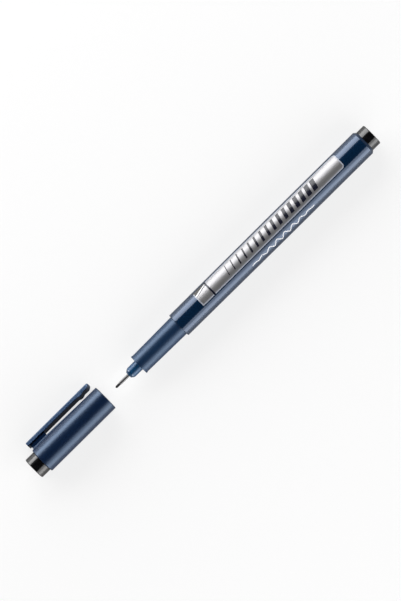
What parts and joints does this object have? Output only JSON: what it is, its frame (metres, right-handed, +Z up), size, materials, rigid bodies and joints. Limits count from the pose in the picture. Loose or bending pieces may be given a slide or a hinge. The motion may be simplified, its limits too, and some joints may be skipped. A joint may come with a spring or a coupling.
{
  "type": "fineliner pen",
  "caption": "Round fineliner pen lying on its side, with a pull-off cap that carries a pocket clip, a tapered grip section, a steel-sleeved fibre nib and bevelled end plugs.",
  "frame": {"origin": "on the table, under the middle of the whole part as it lies with its cap off", "axes": "+X along the pen from the nib to its rear end, +Y towards the cap's clip, +Z up from the table"},
  "size_m": [0.1762, 0.0142, 0.0105],
  "materials": {
    "navy_gloss": "glossy moulded plastic",
    "navy_satin": "satin moulded plastic",
    "nose_navy": "semi-gloss moulded plastic",
    "plug_black": "glossy moulded plastic",
    "nib_steel": "drawn and polished tube",
    "nib_fibre": "ink-soaked bonded fibre",
    "reservoir_fibre": "ink-soaked bonded fibre",
    "wrap_film": "clear film",
    "liner_plastic": "natural moulded plastic",
    "panel_silver": "metallic print on the barrel",
    "print_dark": "dark printed strokes",
    "print_white": "white printed line"
  },
  "bodies": {
    "pen": {"barrel": "navy_gloss", "grip_section": "navy_satin", "nib_holder": "nose_navy", "nib_tube": "nib_steel", "fibre_nib": "nib_fibre", "ink_reservoir": "reservoir_fibre", "reservoir_wrap": "wrap_film", "rear_plug": "plug_black"},
    "cap": {"cap_shell": "navy_satin", "cap_plug": "plug_black", "cap_liner": "liner_plastic"}
  },
  "joints": [
    {"name": "cap_slide", "type": "slide", "parent": "pen", "child": "cap", "axis": [1, 0, 0], "range_m": [0, 0.0379]}
  ]
}
